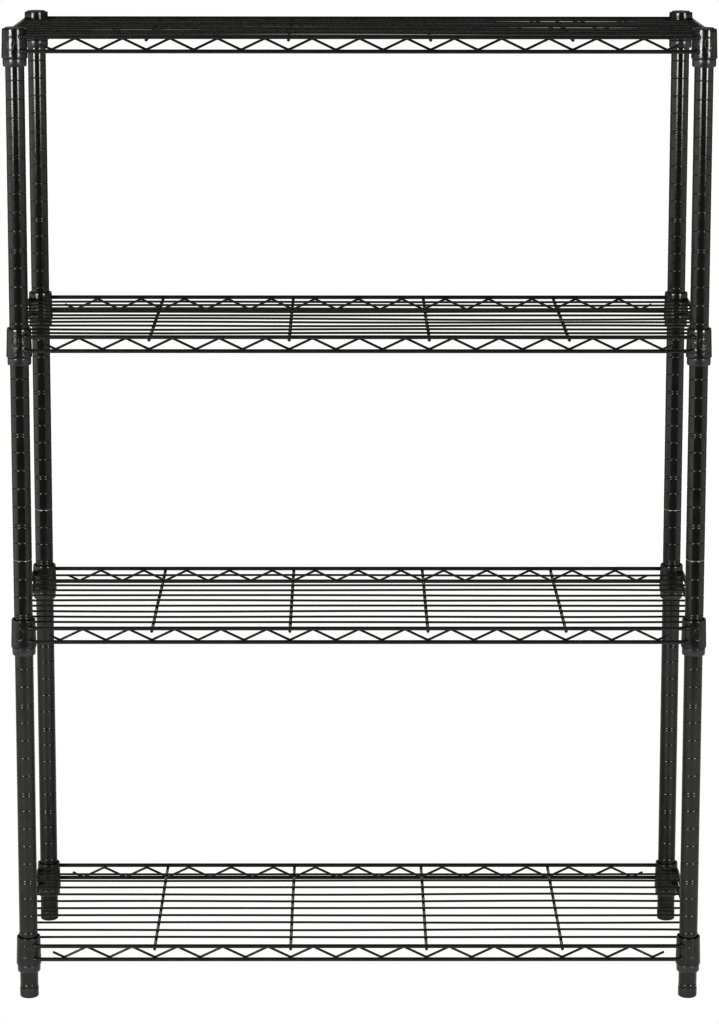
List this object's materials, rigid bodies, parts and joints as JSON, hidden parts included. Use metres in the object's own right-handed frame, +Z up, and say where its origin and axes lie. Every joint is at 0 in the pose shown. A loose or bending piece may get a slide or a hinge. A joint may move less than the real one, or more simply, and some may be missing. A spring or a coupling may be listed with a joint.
{
  "type": "wire shelving rack",
  "caption": "Open wire shelving rack: grooved round posts on levelling feet carry welded wire shelves by tapered split clips, black powder coat.",
  "frame": {"origin": "centre of the rack's footprint at the floor", "axes": "+X along the shelves to the right, +Y from front to back, +Z up"},
  "size_m": [0.96, 0.355, 1.3595],
  "materials": {
    "powder_coat": "glossy black powder coat",
    "clip_plastic": "satin black plastic",
    "cap_plastic": "satin black plastic",
    "foot": "black coated steel",
    "plated_steel": "bright zinc plate"
  },
  "bodies": {
    "posts": {"post_lower_front_left": "powder_coat", "post_upper_front_left": "powder_coat", "splice_stud_front_left": "plated_steel", "top_cap_front_left": "cap_plastic", "foot_plug_front_left": "plated_steel", "clip_1_front_left_front_half": "clip_plastic", "clip_1_front_left_rear_half": "clip_plastic", "clip_2_front_left_front_half": "clip_plastic", "clip_2_front_left_rear_half": "clip_plastic", "clip_3_front_left_front_half": "clip_plastic", "clip_3_front_left_rear_half": "clip_plastic", "clip_4_front_left_front_half": "clip_plastic", "clip_4_front_left_rear_half": "clip_plastic", "post_lower_front_right": "powder_coat", "post_upper_front_right": "powder_coat", "splice_stud_front_right": "plated_steel", "top_cap_front_right": "cap_plastic", "foot_plug_front_right": "plated_steel", "clip_1_front_right_front_half": "clip_plastic", "clip_1_front_right_rear_half": "clip_plastic", "clip_2_front_right_front_half": "clip_plastic", "clip_2_front_right_rear_half": "clip_plastic", "clip_3_front_right_front_half": "clip_plastic", "clip_3_front_right_rear_half": "clip_plastic", "clip_4_front_right_front_half": "clip_plastic", "clip_4_front_right_rear_half": "clip_plastic", "post_lower_rear_left": "powder_coat", "post_upper_rear_left": "powder_coat", "splice_stud_rear_left": "plated_steel", "top_cap_rear_left": "cap_plastic", "foot_plug_rear_left": "plated_steel", "clip_1_rear_left_front_half": "clip_plastic", "clip_1_rear_left_rear_half": "clip_plastic", "clip_2_rear_left_front_half": "clip_plastic", "clip_2_rear_left_rear_half": "clip_plastic", "clip_3_rear_left_front_half": "clip_plastic", "clip_3_rear_left_rear_half": "clip_plastic", "clip_4_rear_left_front_half": "clip_plastic", "clip_4_rear_left_rear_half": "clip_plastic", "post_lower_rear_right": "powder_coat", "post_upper_rear_right": "powder_coat", "splice_stud_rear_right": "plated_steel", "top_cap_rear_right": "cap_plastic", "foot_plug_rear_right": "plated_steel", "clip_1_rear_right_front_half": "clip_plastic", "clip_1_rear_right_rear_half": "clip_plastic", "clip_2_rear_right_front_half": "clip_plastic", "clip_2_rear_right_rear_half": "clip_plastic", "clip_3_rear_right_front_half": "clip_plastic", "clip_3_rear_right_rear_half": "clip_plastic", "clip_4_rear_right_front_half": "clip_plastic", "clip_4_rear_right_rear_half": "clip_plastic"},
    "shelf_1_body": {"shelf_1": "powder_coat"},
    "shelf_2_body": {"shelf_2": "powder_coat"},
    "shelf_3_body": {"shelf_3": "powder_coat"},
    "shelf_4_body": {"shelf_4": "powder_coat"},
    "foot_front_left": {"levelling_foot_front_left": "foot"},
    "foot_front_right": {"levelling_foot_front_right": "foot"},
    "foot_rear_left": {"levelling_foot_rear_left": "foot"},
    "foot_rear_right": {"levelling_foot_rear_right": "foot"}
  },
  "joints": [
    {"name": "shelf_1_lift", "type": "slide", "parent": "posts", "child": "shelf_1_body", "axis": [0, 0, 1], "range_m": [0, 0.4]},
    {"name": "shelf_2_lift", "type": "slide", "parent": "posts", "child": "shelf_2_body", "axis": [0, 0, 1], "range_m": [0, 0.35]},
    {"name": "shelf_3_lift", "type": "slide", "parent": "posts", "child": "shelf_3_body", "axis": [0, 0, 1], "range_m": [0, 0.35]},
    {"name": "shelf_4_lift", "type": "slide", "parent": "posts", "child": "shelf_4_body", "axis": [0, 0, 1], "range_m": [0, 0.1]},
    {"name": "foot_front_left_level", "type": "slide", "parent": "posts", "child": "foot_front_left", "axis": [0, 0, -1], "range_m": [0, 0.015]},
    {"name": "foot_front_right_level", "type": "slide", "parent": "posts", "child": "foot_front_right", "axis": [0, 0, -1], "range_m": [0, 0.015]},
    {"name": "foot_rear_left_level", "type": "slide", "parent": "posts", "child": "foot_rear_left", "axis": [0, 0, -1], "range_m": [0, 0.015]},
    {"name": "foot_rear_right_level", "type": "slide", "parent": "posts", "child": "foot_rear_right", "axis": [0, 0, -1], "range_m": [0, 0.015]}
  ]
}
